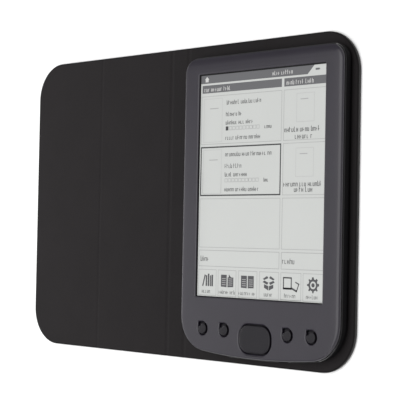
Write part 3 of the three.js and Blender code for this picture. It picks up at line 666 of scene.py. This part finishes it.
def make_page_mask():
    """The black ring between the page and the front: it shows as a thin line round the page."""
    low, high = RIM_LOW, RIM_HIGH
    outside = rounded_rectangle(
        (low.x + high.x) / 2, (low.y + high.y) / 2, high.x - low.x, high.y - low.y, 1, 5)
    left = WINDOW_X - WINDOW_WIDTH / 2 + MASK_LEFT
    right = WINDOW_X + WINDOW_WIDTH / 2 - MASK_RIGHT
    bottom = PAGE_Y - WINDOW_HEIGHT / 2 + MASK_BOTTOM
    top = PAGE_Y + WINDOW_HEIGHT / 2 - MASK_TOP
    inside = rounded_rectangle((left + right) / 2, (bottom + top) / 2, right - left, top - bottom, 0.4, 5)
    shell = Shell()
    loops = [shell.loop(outline, z) for outline, z in
             ((outside, low.z), (outside, high.z), (inside, high.z), (inside, low.z))]
    shell.chain(loops + loops[:1])
    dress(shell.build("page_mask"), "black_foam", "reader", ["display_gasket"])


# ---------------------------------------------------------------- rear housing

HOUSING_WALL = 1.6
CHAMFER = 0.44
RIM_DEPTH = 0.5
ROUND_HEIGHT = 3
ROUND_WIDTH = 2.5
ROUND_STEPS = 10
BORE_RADIUS = 1.6
BORE_DEPTH = 1.15
SCREW_COUNT = 6
SOCKET_ROOM = 0.4
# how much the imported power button's flange stands out past its cap, at each side and at the top
POWER_SIDE = 1
POWER_LIP = 0.3


def housing_profiles():
    """Insets and heights of the housing's outside and inside, both from the seam down to the back."""
    outer = [(1.0, SEAM_Z), (CHAMFER, SEAM_Z), (0.05, SEAM_Z - CHAMFER), (0.0, SEAM_Z - 0.58),
             (0.0, BACK_Z + ROUND_HEIGHT)]
    for step in range(1, ROUND_STEPS + 1):
        angle = math.radians(90 / ROUND_STEPS * step)
        height = BACK_Z + ROUND_HEIGHT - ROUND_HEIGHT * math.sin(angle)
        outer.append((ROUND_WIDTH * (1 - math.cos(angle)), height))
    inner = [(HOUSING_WALL, SEAM_Z), (HOUSING_WALL, BACK_Z + 3.2), (1.9, BACK_Z + 2), (2.6, BACK_Z + 1.4),
             (3.4, BACK_Z + 1.2)]
    return outer, inner


def cut_sockets(housing):
    """Openings for the USB socket, the card slot and the power button in the lower edge."""
    points, faces = [], []

    def add_box(x0, x1, y0, y1, z0, z1):
        corners, sides = box_points(x0, x1, y0, y1, z0, z1)
        start = len(points)
        points.extend(corners)
        faces.extend([tuple(start + i for i in side) for side in sides])

    room = SOCKET_ROOM
    usb_low, usb_high = node_box("usb_socket")
    card_low, card_high = node_box("card_socket")
    power_low, power_high = node_box("power_button")
    out = BOTTOM_Y - 1
    add_box(usb_low.x - room, usb_high.x + room, out, usb_high.y, usb_low.z - room, usb_high.z + 0.02)
    add_box(card_low.x - room, card_high.x + room, out, card_low.y + 3.5, card_low.z - 0.3, card_high.z + 0.2)
    add_box(power_low.x + POWER_SIDE - room, power_high.x - POWER_SIDE + room, out, BOTTOM_Y + 4,
            power_low.z - room, power_high.z - POWER_LIP + room)
    carve(housing, make_object("socket_cutter", points, faces))


def cut_screw_bores(housing):
    bores = Shell()
    for index in range(1, SCREW_COUNT + 1):
        low, high = node_box(f"housing_screw_{index}")
        x, y = (low.x + high.x) / 2, (low.y + high.y) / 2
        outline = polar_loop(x, y, circle(BORE_RADIUS), 24)
        loops = [bores.loop(outline, z) for z in (BACK_Z - 1, BACK_Z + BORE_DEPTH)]
        bores.chain(loops)
        bores.fill(loops[0])
        bores.fill(loops[1])
    carve(housing, bores.build("bore_cutter"))


def paint_rim(housing):
    """The chamfer under the seam is glossy along the sides and round the corners, and satin on the ends."""
    housing.data.materials.append(RIM_GLOSS)
    housing.data.materials.append(RIM_SATIN)
    for face in housing.data.polygons:
        if face.center.z / MM > SEAM_Z - RIM_DEPTH and 0.5 < face.normal.z < 0.8:
            face.material_index = 1 if abs(face.normal.x) > 0.2 else 2


def make_housing():
    shell = Shell()
    outer, inner = housing_profiles()
    out_rings = [shell.loop(reader_loop(inset), z) for inset, z in outer]
    in_rings = [shell.loop(reader_loop(inset), z) for inset, z in inner]
    shell.chain(out_rings)
    shell.chain(in_rings)
    shell.bridge(out_rings[0], in_rings[0])
    shell.fill(out_rings[-1])
    shell.fill(in_rings[-1])
    housing = shell.build("housing", 40)
    cut_sockets(housing)
    cut_screw_bores(housing)
    housing.data.set_sharp_from_angle(angle=math.radians(30))
    dress(housing, "housing_plastic", "reader", ["rear_housing"])
    paint_rim(housing)


# ---------------------------------------------------------------- keys, direction pad, power button

# the key's stem and flange as radius and height over its foot, and its top as what the outline
# gains and the height over the face
KEY_STEM = [(1.2, 0.0), (1.2, 0.45), (4.1, 0.45), (4.2, 0.55), (4.2, 1.0), (4.15, 1.05)]
KEY_CROWN = [(0.0, -0.2), (0.0, 0.2), (-0.04, 0.3), (-0.12, 0.37), (-0.28, 0.42), (-0.55, 0.46),
             (-0.9, 0.49), (-1.3, 0.51), (-1.6, 0.52)]
# the pad's top as inset and height over the face
PAD_CROWN = [(0.0, -0.1), (0.04, 0.08), (0.13, 0.2), (0.3, 0.29), (0.6, 0.36), (1.05, 0.41), (1.6, 0.445),
             (2.3, 0.47), (3.2, 0.485), (4.4, 0.48), (5.5, 0.475)]
# the power button as inset and distance behind its front
POWER_PROFILE = [(0.45, 0.0), (0.2, 0.05), (0.05, 0.18), (0.0, 0.4), (0.0, 3.1), (-0.5, 3.1), (-0.5, 3.4)]


def make_function_key(index, x, y):
    tab = notched(KEY_RADIUS, 2.85, 3.0)
    face = flattened(KEY_RADIUS)
    low = KEY_BOXES[index][0].z
    shell = Shell()
    stem = [(circle(radius), low + height) for radius, height in KEY_STEM]
    body = [(tab, low + 1.05), (tab, FACE_Z - 1.2), (widened(tab, -0.12), FACE_Z - 1.1), (face, FACE_Z - 1.1)]
    crown = [(widened(face, extra), FACE_Z + height) for extra, height in KEY_CROWN]
    rings = stem + body + crown
    loops = [shell.loop(polar_loop(x, y, radius_at), z) for radius_at, z in rings]
    shell.chain(loops)
    shell.fill(loops[0])
    shell.fill(loops[-1])
    dress(shell.build(f"round_key_{index + 1}", 50), "key_plastic", f"key_{index + 1}", [KEY_NAMES[index]])


def make_direction_pad():
    gap = 0.6
    flange, flange_height = 0.8, 0.6
    socket_radius, socket_depth = 3.8, 0.85
    shell = Shell()
    base = PAD_LOW.z
    profile = [(-flange, base), (-flange, base + flange_height), (0.0, base + flange_height)]
    profile += [(inset, FACE_Z + height) for inset, height in PAD_CROWN]
    loops = [shell.loop(pad_loop(-gap - inset), z) for inset, z in profile]
    shell.chain(loops)
    shell.fill(loops[-1])
    outline = polar_loop(READER_X, PAD_Y, circle(socket_radius), 40)
    socket = [shell.loop(outline, z) for z in (base, base + socket_depth)]
    shell.bridge(*socket)
    shell.fill(socket[1])
    shell.fill(loops[0], socket[0])
    dress(shell.build("direction_pad", 50), "key_plastic", "pad_cap", ["dpad_cap"])


def make_power_button():
    low, high = node_box("power_button")
    middle_x = (low.x + high.x) / 2
    half_width = (high.x - low.x) / 2 - POWER_SIDE
    top = high.z - POWER_LIP
    middle_z = (low.z + top) / 2
    half_height = (top - low.z) / 2
    points, faces = [], []
    outline = rounded_rectangle(middle_x, middle_z, 2 * half_width, 2 * half_height, 0.75, 6)
    count = len(outline)
    for inset, depth in POWER_PROFILE:
        scale_x = 1 - inset / half_width
        scale_z = 1 - inset / half_height
        for x, z in outline:
            points.append((middle_x + (x - middle_x) * scale_x, low.y + depth,
                           middle_z + (z - middle_z) * scale_z))
    last = len(POWER_PROFILE) - 1
    for ring in range(last):
        near, far = ring * count, (ring + 1) * count
        for i in range(count):
            j = (i + 1) % count
            faces.append((near + i, near + j, far + j, far + i))
    faces.append(tuple(range(count)))
    faces.append(tuple(last * count + i for i in range(count)))
    dress(make_object("power_cap", points, faces, 50), "key_plastic", "power_key", ["power_button"])


# ---------------------------------------------------------------- folio cover

LINING_EDGE = 0.75
LINING_THICKNESS = 0.4
CUT_AT_SPINE = (SPINE_FOLD + COVER_FOLD) / 2
CUT_AT_PANEL = (COVER_FOLD + STAND_FOLD) / 2
# each crease's place, half width and depth
CREASES = [(SPINE_FOLD, SPINE_FOLD_HALF, 0.2), (COVER_FOLD, SPINE_FOLD_HALF, 0.2),
           (STAND_FOLD, STAND_FOLD_HALF, 0.11)]
CREASE_STEPS = 16
CORNER_STEP = 5
# the skin from beside the lining, over the rounded rim and onto the outside, as inset and share of
# the cover's thickness
SKIN_RIM = [(LINING_EDGE + 0.1, 0.8), (LINING_EDGE - 0.04, 0.95), (LINING_EDGE - 0.18, 1.0), (0.38, 0.99),
            (0.18, 0.945), (0.05, 0.86), (0.0, 0.74), (0.0, 0.28), (0.05, 0.15), (0.18, 0.055),
            (0.4, 0.01), (0.6, 0.0), (1.0, 0.0)]


def dip(x):
    """How far the lining sinks into the creases, in millimetres."""
    total = 0.0
    for middle, half, depth in CREASES:
        away = abs(x - middle) / half
        if away < 1:
            total += depth * math.cos(away * math.pi / 2) ** 2
    return total


def top_level(x):
    return COVER_TOP - dip(x)


def bottom_level(x):
    return 0.7 * dip(x)


def columns(left, right):
    """Where the sheets' cross lines stand; those within a rounded corner are given as angles."""
    stops = {left, right}
    for middle, half, _ in CREASES:
        for step in range(-CREASE_STEPS, CREASE_STEPS + 1):
            stops.add(middle + half * step / CREASE_STEPS)
    corner_start = COVER_HALF_WIDTH - COVER_CORNER
    stops |= {-corner_start, corner_start}
    straight = sorted(x for x in stops if left <= x <= right and abs(x) <= corner_start)
    marks = [("x", x) for x in straight]
    angles = range(CORNER_STEP, 90 + CORNER_STEP, CORNER_STEP)
    if right > corner_start:
        marks += [("right", a) for a in angles]
    if left < -corner_start:
        marks = [("left", a) for a in reversed(angles)] + marks
    return marks


def column_place(mark, inset):
    kind, value = mark
    half_height = COVER_HALF_HEIGHT - inset
    if kind == "x":
        return value, half_height
    radius = COVER_CORNER - inset
    angle = math.radians(value)
    x = COVER_HALF_WIDTH - COVER_CORNER + radius * math.sin(angle)
    y = COVER_HALF_HEIGHT - COVER_CORNER + radius * math.cos(angle)
    return (x if kind == "right" else -x), y


def sheet_mesh(name, left, right, levels, close_cut):
    """A sheet built as a ladder of levels, each an inset and the height at x.

    The last level is filled across, and with close_cut so are the first and the cut ends.
    """
    marks = columns(left, right)
    count = len(marks)
    points, faces = [], []
    for inset, height_at in levels:
        for side in (1, -1):
            for mark in marks:
                x, y = column_place(mark, inset)
                points.append((x, side * y, height_at(x)))

    def at(level, side, column):
        return level * 2 * count + (0 if side > 0 else count) + column

    for level in range(len(levels) - 1):
        for side in (1, -1):
            for c in range(count - 1):
                faces.append((at(level, side, c), at(level, side, c + 1), at(level + 1, side, c + 1),
                              at(level + 1, side, c)))
        ends = [c for c, kind in ((0, "left"), (count - 1, "right")) if marks[c][0] == kind]
        for c in ends:
            faces.append((at(level, 1, c), at(level, -1, c), at(level + 1, -1, c), at(level + 1, 1, c)))
    filled = [len(levels) - 1] + ([0] if close_cut else [])
    for level in filled:
        for c in range(count - 1):
            faces.append((at(level, 1, c), at(level, 1, c + 1), at(level, -1, c + 1), at(level, -1, c)))
    if close_cut:
        cuts = [c for c, kind in ((0, "left"), (count - 1, "right")) if marks[c][0] != kind]
        for c in cuts:
            front = [at(level, 1, c) for level in range(len(levels))]
            back = [at(level, -1, c) for level in reversed(range(len(levels)))]
            faces.append(tuple(front + back))
    return make_object(name, points, faces, 70)


def lining_levels():
    """From the glued underside, round the soft edge and onto the top."""

    def below_top(depth):
        return lambda x: top_level(x) - depth

    return [
        (LINING_EDGE + 0.3, below_top(LINING_THICKNESS)), (LINING_EDGE, below_top(LINING_THICKNESS)),
        (LINING_EDGE, below_top(0.12)), (LINING_EDGE + 0.06, below_top(0.03)),
        (LINING_EDGE + 0.2, top_level), (LINING_EDGE + 0.5, top_level),
    ]


def skin_levels():
    def at_share(share):
        return lambda x: bottom_level(x) + share * (top_level(x) - bottom_level(x))

    return [(inset, at_share(share)) for inset, share in SKIN_RIM]


def paint_edge_and_shade(skin):
    """The turned-in edge of the leather is painted where it faces up beside the lining, and made dark enough to be
    painted shade for the groove there as well.
    """
    skin.data.materials.append(EDGE_PAINT_AND_SHADE)
    upper = COVER_TOP * 0.7
    for face in skin.data.polygons:
        if face.center.z / MM > upper and abs(face.normal.z) > 0.5:
            face.material_index = 1


def fold_between(piece):
    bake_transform(piece)


def make_cover():
    edge = COVER_HALF_WIDTH
    sections = [
        ("back", CUT_AT_SPINE, edge, ("reader", "spine", SPINE_FOLD, SPINE_FOLD_HALF),
         ["back_skin"], ["back_lining", "spine_fold_strip"], ["back_board", "spine_board"]),
        ("spine", CUT_AT_PANEL, CUT_AT_SPINE, ("spine", "cover_inner", COVER_FOLD, SPINE_FOLD_HALF),
         ["spine_skin", "front_inner_skin"], ["spine_lining", "front_inner_lining", "cover_fold_strip"],
         ["spine_board", "front_inner_board"]),
        ("front", -edge, CUT_AT_PANEL, ("cover_inner", "cover_outer", STAND_FOLD, STAND_FOLD_HALF),
         ["front_outer_skin"], ["front_outer_lining", "stand_fold_strip"],
         ["front_inner_board", "front_outer_board"]),
    ]
    for name, left, right, (first, second, fold, half), skins, linings, boards in sections:
        lining = sheet_mesh(f"lining_{name}", left, right, lining_levels(), True)
        dress(lining, "cover_lining", replaces=linings)
        fold_between(lining)
        skin = sheet_mesh(f"skin_{name}", left, right, skin_levels(), False)
        dress(skin, "cover_skin", replaces=skins)
        paint_edge_and_shade(skin)
        fold_between(skin)


# ---------------------------------------------------------------- what the page shows

class Ink:
    """Flat marks that lie on the page, in millimetres from the middle of the page."""

    def __init__(self, name, height):
        self.name = name
        self.z = PAGE_Z + height
        self.points = []
        self.faces = []

    def shape(self, outline):
        start = len(self.points)
        self.points.extend((READER_X + x, PAGE_Y + y, self.z) for x, y in outline)
        self.faces.append(tuple(range(start, start + len(outline))))

    def bar(self, x0, x1, y0, y1):
        self.shape([(x0, y0), (x1, y0), (x1, y1), (x0, y1)])

    def frame(self, x0, x1, y0, y1, thick):
        self.bar(x0, x1, y1 - thick, y1)
        self.bar(x0, x1, y0, y0 + thick)
        self.bar(x0, x0 + thick, y0 + thick, y1 - thick)
        self.bar(x1 - thick, x1, y0 + thick, y1 - thick)

    def turned(self, x, y, angle, outline):
        c, s = math.cos(math.radians(angle)), math.sin(math.radians(angle))
        self.shape([(x + c * u - s * v, y + s * u + c * v) for u, v in outline])

    def strokes(self, x0, x1, y, height, seed, stroke=0.3):
        """A line of meaningless strokes in word-like groups, with no letter among them."""
        pick = random.Random(seed)
        x = x0
        while x < x1 - height * 0.4:
            for _ in range(pick.randint(3, 8)):
                wide = height * pick.uniform(0.4, 0.52)
                if x + wide > x1 + height * 0.2:
                    break
                tall = height * pick.choice([0.7, 0.7, 0.74, 1.0])
                self.bar(x, x + stroke, y, y + tall)
                if pick.random() < 0.6:
                    self.bar(x + wide - stroke, x + wide, y, y + height * 0.7)
                level = pick.choice([0.0, 0.3, 0.58])
                self.bar(x + stroke, x + wide - stroke, y + height * level, y + height * level + stroke * 0.8)
                x += wide + height * 0.14
            x += height * 0.36

    def build(self):
        made = make_object(self.name, self.points, self.faces)
        made.data.materials.clear()
        made.data.materials.append(INK[self.name])
        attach(made, "reader")


def draw_books(dark, x, y):
    dark.turned(x - 4.2, y - 3.3, -16, [(0, 0), (0.9, 0), (0.9, 6.6), (0, 6.6)])
    for offset, width, tall in ((-1.5, 1.1, 5.9), (0.1, 1.2, 6.8), (1.8, 0.9, 5.9), (3.0, 1.2, 6.3)):
        dark.bar(x + offset, x + offset + width, y - 3.3, y - 3.3 + tall)


def draw_open_book(dark, pale, x, y, marked):
    for side in (-1, 1):
        inner, outer = x + side * 0.35, x + side * 4.7
        top = y + 3.3 if side < 0 or not marked else y + 2.0
        dark.shape([(inner, y - 3.4), (outer, y - 3.2), (outer, top), (inner, top)])
        for line in range(4):
            low = y - 2.3 + 1.1 * line
            pale.bar(min(inner, outer) + 0.7, max(inner, outer) - 0.7, low, low + 0.36)
    if marked:
        dark.shape([(x + 1.2, y + 2.0), (x + 3.0, y + 2.0), (x + 1.2, y + 3.6)])


# right half of the open box: its wall and two flaps
BOX_HALF = [
    [(3.3, -0.7), (0.2, -1.6), (0.2, -3.9), (3.3, -2.6)],
    [(4.3, 0.4), (1.1, -1.0), (0.2, 0.2), (3.3, 1.3)],
    [(4.2, 2.1), (1.2, 3.7), (0.2, 2.6), (3.2, 1.5)],
]


def draw_open_box(dark, x, y):
    for side in (-1, 1):
        for outline in BOX_HALF:
            dark.shape([(x + side * u, y + v) for u, v in outline])


def draw_pictures(dark, x, y):
    dark.frame(x - 4.7, x + 1.4, y - 2.6, y + 3.6, 0.7)
    dark.bar(x - 4.7, x + 1.4, y - 2.9, y - 1.9)
    for outline in ([(0, 0), (4.6, 0), (4.6, 1.0), (0, 1.0)], [(4.0, 0), (4.6, 0), (4.6, 4.8), (4.0, 4.8)],
                    [(1.6, 4.2), (4.6, 4.2), (4.6, 4.8), (1.6, 4.8)]):
        dark.turned(x + 0.6, y - 2.4, -22, outline)


def draw_gear(dark, x, y):
    steps, teeth = 64, 8
    tip, root, ring, hub = 4.1, 3.1, 1.95, 1.1
    outer = polar_loop(x, y, lambda angle: tip if math.cos(teeth * angle) > 0 else root, steps)
    inner = polar_loop(x, y, circle(ring), steps)
    for i in range(steps):
        j = (i + 1) % steps
        dark.shape([inner[i], outer[i], outer[j], inner[j]])
    dark.shape(polar_loop(x, y, circle(hub), 16))


def draw_page():
    dark = Ink("page_ink_dark", 0.03)
    text = Ink("page_ink_text", 0.03)
    icon = Ink("page_ink_icon", 0.02)
    grey = Ink("page_ink_grey", 0.02)
    pale = Ink("page_ink_pale", 0.03)
    faint = Ink("page_ink_faint", 0.025)
    white = Ink("page_ink_white", 0.04)

    # header bar with a slanted end, a battery mark, a house and a row of strokes
    grey.shape([(-46, 56.3), (33.2, 56.3), (38.0, 61.0), (38.0, 61.8), (-46, 61.8)])
    grey.bar(38.6, 41.2, 58.1, 59.1)
    grey.bar(41.2, 41.6, 58.35, 58.85)
    white.shape([(-42.0, 58.5), (-40.35, 60.1), (-38.7, 58.5)])
    white.bar(-41.5, -39.2, 57.1, 58.5)
    white.strokes(8.7, 23.8, 57.4, 2.3, 1, 0.34)
    grey.bar(-43.8, 15.5, 50.9, 55.25)
    grey.bar(17.2, 45.9, 50.9, 55.25)
    white.strokes(-42.2, -21.3, 51.7, 2.4, 2, 0.34)
    white.strokes(18.7, 38.2, 51.7, 2.4, 3, 0.34)

    # frames of the cards, the chosen one darker
    left, right = (-44.25, 15.75), (17.1, 45.9)
    pale.frame(*left, 22.5, 49.2, 0.25)
    dark.frame(*left, -6.0, 21.2, 0.74)
    for x0, x1 in (left, right):
        pale.frame(x0, x1, -34.3, -7.4, 0.25)
        pale.frame(x0, x1, -44.7, -35.7, 0.3)
    pale.frame(*right, 22.5, 49.2, 0.25)
    pale.frame(*right, -6.0, 21.2, 0.25)
    text.strokes(-42.8, -34.8, -41.8, 2.9, 4, 0.32)
    text.strokes(17.9, 25.9, -41.8, 2.9, 5, 0.32)

    # the left cards: drop, lines of strokes, filled squares, and the end of the strokes beside them
    rows = [
        (0.0, [(45.0, -24.8, 2.0), (38.6, -25.2, -12.4), (34.0, -25.3, -5.1), (25.7, -25.3, 0.75)],
         1, 9.2),
        (-28.35, [(45.0, -25.3, 9.5), (38.6, -25.4, -12.4), (34.0, -25.3, -6.8), (25.95, -25.4, 0.3)],
         0, 7.4),
    ]
    for number, (shift, lines, filled, percent_end) in enumerate(rows):
        for line, (y, x0, x1) in enumerate(lines):
            text.strokes(x0, x1, y + shift - 1.15, 2.4, 10 + 10 * number + line)
        pale.bar(-37.6, -31.0, 41.95 + shift, 42.4 + shift)
        faint.frame(-42.3, -28.0, 23.6 + shift, 47.75 + shift, 0.2)
        for square in range(10):
            x0 = -25.3 + 2.56 * square
            y0 = 29.8 + shift
            pale.frame(x0, x0 + 2.2, y0, y0 + 2.0, 0.22)
            if square < filled:
                dark.bar(x0 + 0.2, x0 + 2.0, y0 - 0.1, y0 + 2.1)
        text.strokes(3.6, percent_end, 29.7 + shift, 2.1, 30 + number)

    # the right cards: drop, and the ends of the first line of strokes
    for number, (shift, x0, x1) in enumerate(((0.0, 17.8, 43.2), (-28.4, 17.8, 44.7))):
        pale.bar(28.7, 34.0, 43.55 + shift, 44.0 + shift)
        faint.frame(26.0, 38.25, 31.9 + shift, 46.9 + shift, 0.2)
        text.strokes(x0, x1, 26.9 + shift, 2.7, 40 + number, 0.35)
        text.strokes(25.2, 38.0, 23.2 + shift * 0.97, 2.7, 50 + number, 0.35)

    # row of tiles with an icon and a line of strokes in each
    tiles = [(-44.25, -30.3), (-29.0, -15.25), (-13.7, 0.2), (1.75, 15.75), (17.0, 31.2), (32.4, 45.9)]
    labels = [(-41.3, -33.4), (-28.2, -15.9), (-13.2, -0.9), (5.3, 11.2), (19.7, 28.3), (34.7, 43.7)]
    for number, ((x0, x1), (start, end)) in enumerate(zip(tiles, labels)):
        pale.frame(x0, x1, -60.7, -46.3, 0.25)
        text.strokes(start, end, -59.3, 2.2, 60 + number, 0.24)
    middle = -52.2
    draw_books(icon, -37.0, middle)
    draw_open_book(icon, pale, -22.0, middle, True)
    draw_open_book(icon, pale, -6.9, middle, False)
    draw_open_box(icon, 8.6, middle)
    draw_pictures(icon, 23.4, middle)
    draw_gear(icon, 39.3, middle)
    for ink in (dark, text, icon, grey, pale, faint, white):
        ink.build()


# ---------------------------------------------------------------- floor, light and camera

LIGHT_AIM = Vector((0.02, 0.0, 0.0))


def make_floor():
    mesh = bpy.data.meshes.new("floor")
    half, under = 3.0, -0.0004
    corners = [(-half, -half, under), (half, -half, under), (half, half, under), (-half, half, under)]
    mesh.from_pydata(corners, [], [(0, 1, 2, 3)])
    floor = bpy.data.objects.new("floor", mesh)
    bpy.context.scene.collection.objects.link(floor)
    made, _, _, shader = new_material("floor_paint")
    shader.inputs["Base Color"].default_value = (0.9, 0.9, 0.9, 1)
    shader.inputs["Roughness"].default_value = 0.9
    shader.inputs["Specular IOR Level"].default_value = 0.1
    mesh.materials.append(made)


def softbox(name, place, width, height, radiance):
    """A rectangular lamp that points close to the middle of the object."""
    light = bpy.data.lights.new(name, "AREA")
    light.shape = "RECTANGLE"
    light.size = width
    light.size_y = height
    light.energy = radiance * math.pi * width * height
    lamp = bpy.data.objects.new(name, light)
    lamp.location = place
    lamp.rotation_euler = (LIGHT_AIM - Vector(place)).to_track_quat("-Z", "Y").to_euler()
    bpy.context.scene.collection.objects.link(lamp)


def make_light():
    softbox("overhead", (0.12, 0.02, 1.3), 1.6, 1.7, 2.9)
    softbox("side", (-0.62, -0.12, 0.33), 0.46, 0.6, 1.25)
    softbox("strip", (-0.62, 0.02, 0.11), 0.6, 0.07, 4.2)
    softbox("front", (0.9, -0.1, 0.75), 0.6, 0.5, 0.15)
    softbox("foot", (0.34, -1.0, 0.5), 0.34, 0.26, 10.0)
    world = bpy.data.worlds.new("studio")
    world.use_nodes = True
    background = world.node_tree.nodes["Background"]
    background.inputs["Color"].default_value = (1, 1, 1, 1)
    background.inputs["Strength"].default_value = 0.22
    bpy.context.scene.world = world


def make_camera():
    data = bpy.data.cameras.new("camera")
    data.sensor_width = 36
    data.lens = 121.4
    camera = bpy.data.objects.new("camera", data)
    place = Vector((0.56004, -0.01972, 0.53334))
    aim = Vector((0.02547, 0.00106, 0.0093))
    upward = Vector((0.00626, 0.9994, 0.03326))
    back = (place - aim).normalized()
    right = upward.cross(back).normalized()
    up = back.cross(right)
    camera.matrix_world = Matrix.Translation(place) @ Matrix((right, up, back)).transposed().to_4x4()
    bpy.context.scene.collection.objects.link(camera)
    bpy.context.scene.camera = camera
    bpy.context.scene.view_settings.view_transform = "Standard"


make_bezel()
make_page_mask()
make_housing()
for key_index, (key_x, key_y) in enumerate(KEY_PLACES):
    make_function_key(key_index, key_x, key_y)
make_direction_pad()
make_power_button()
make_cover()
draw_page()
make_floor()
make_light()
make_camera()
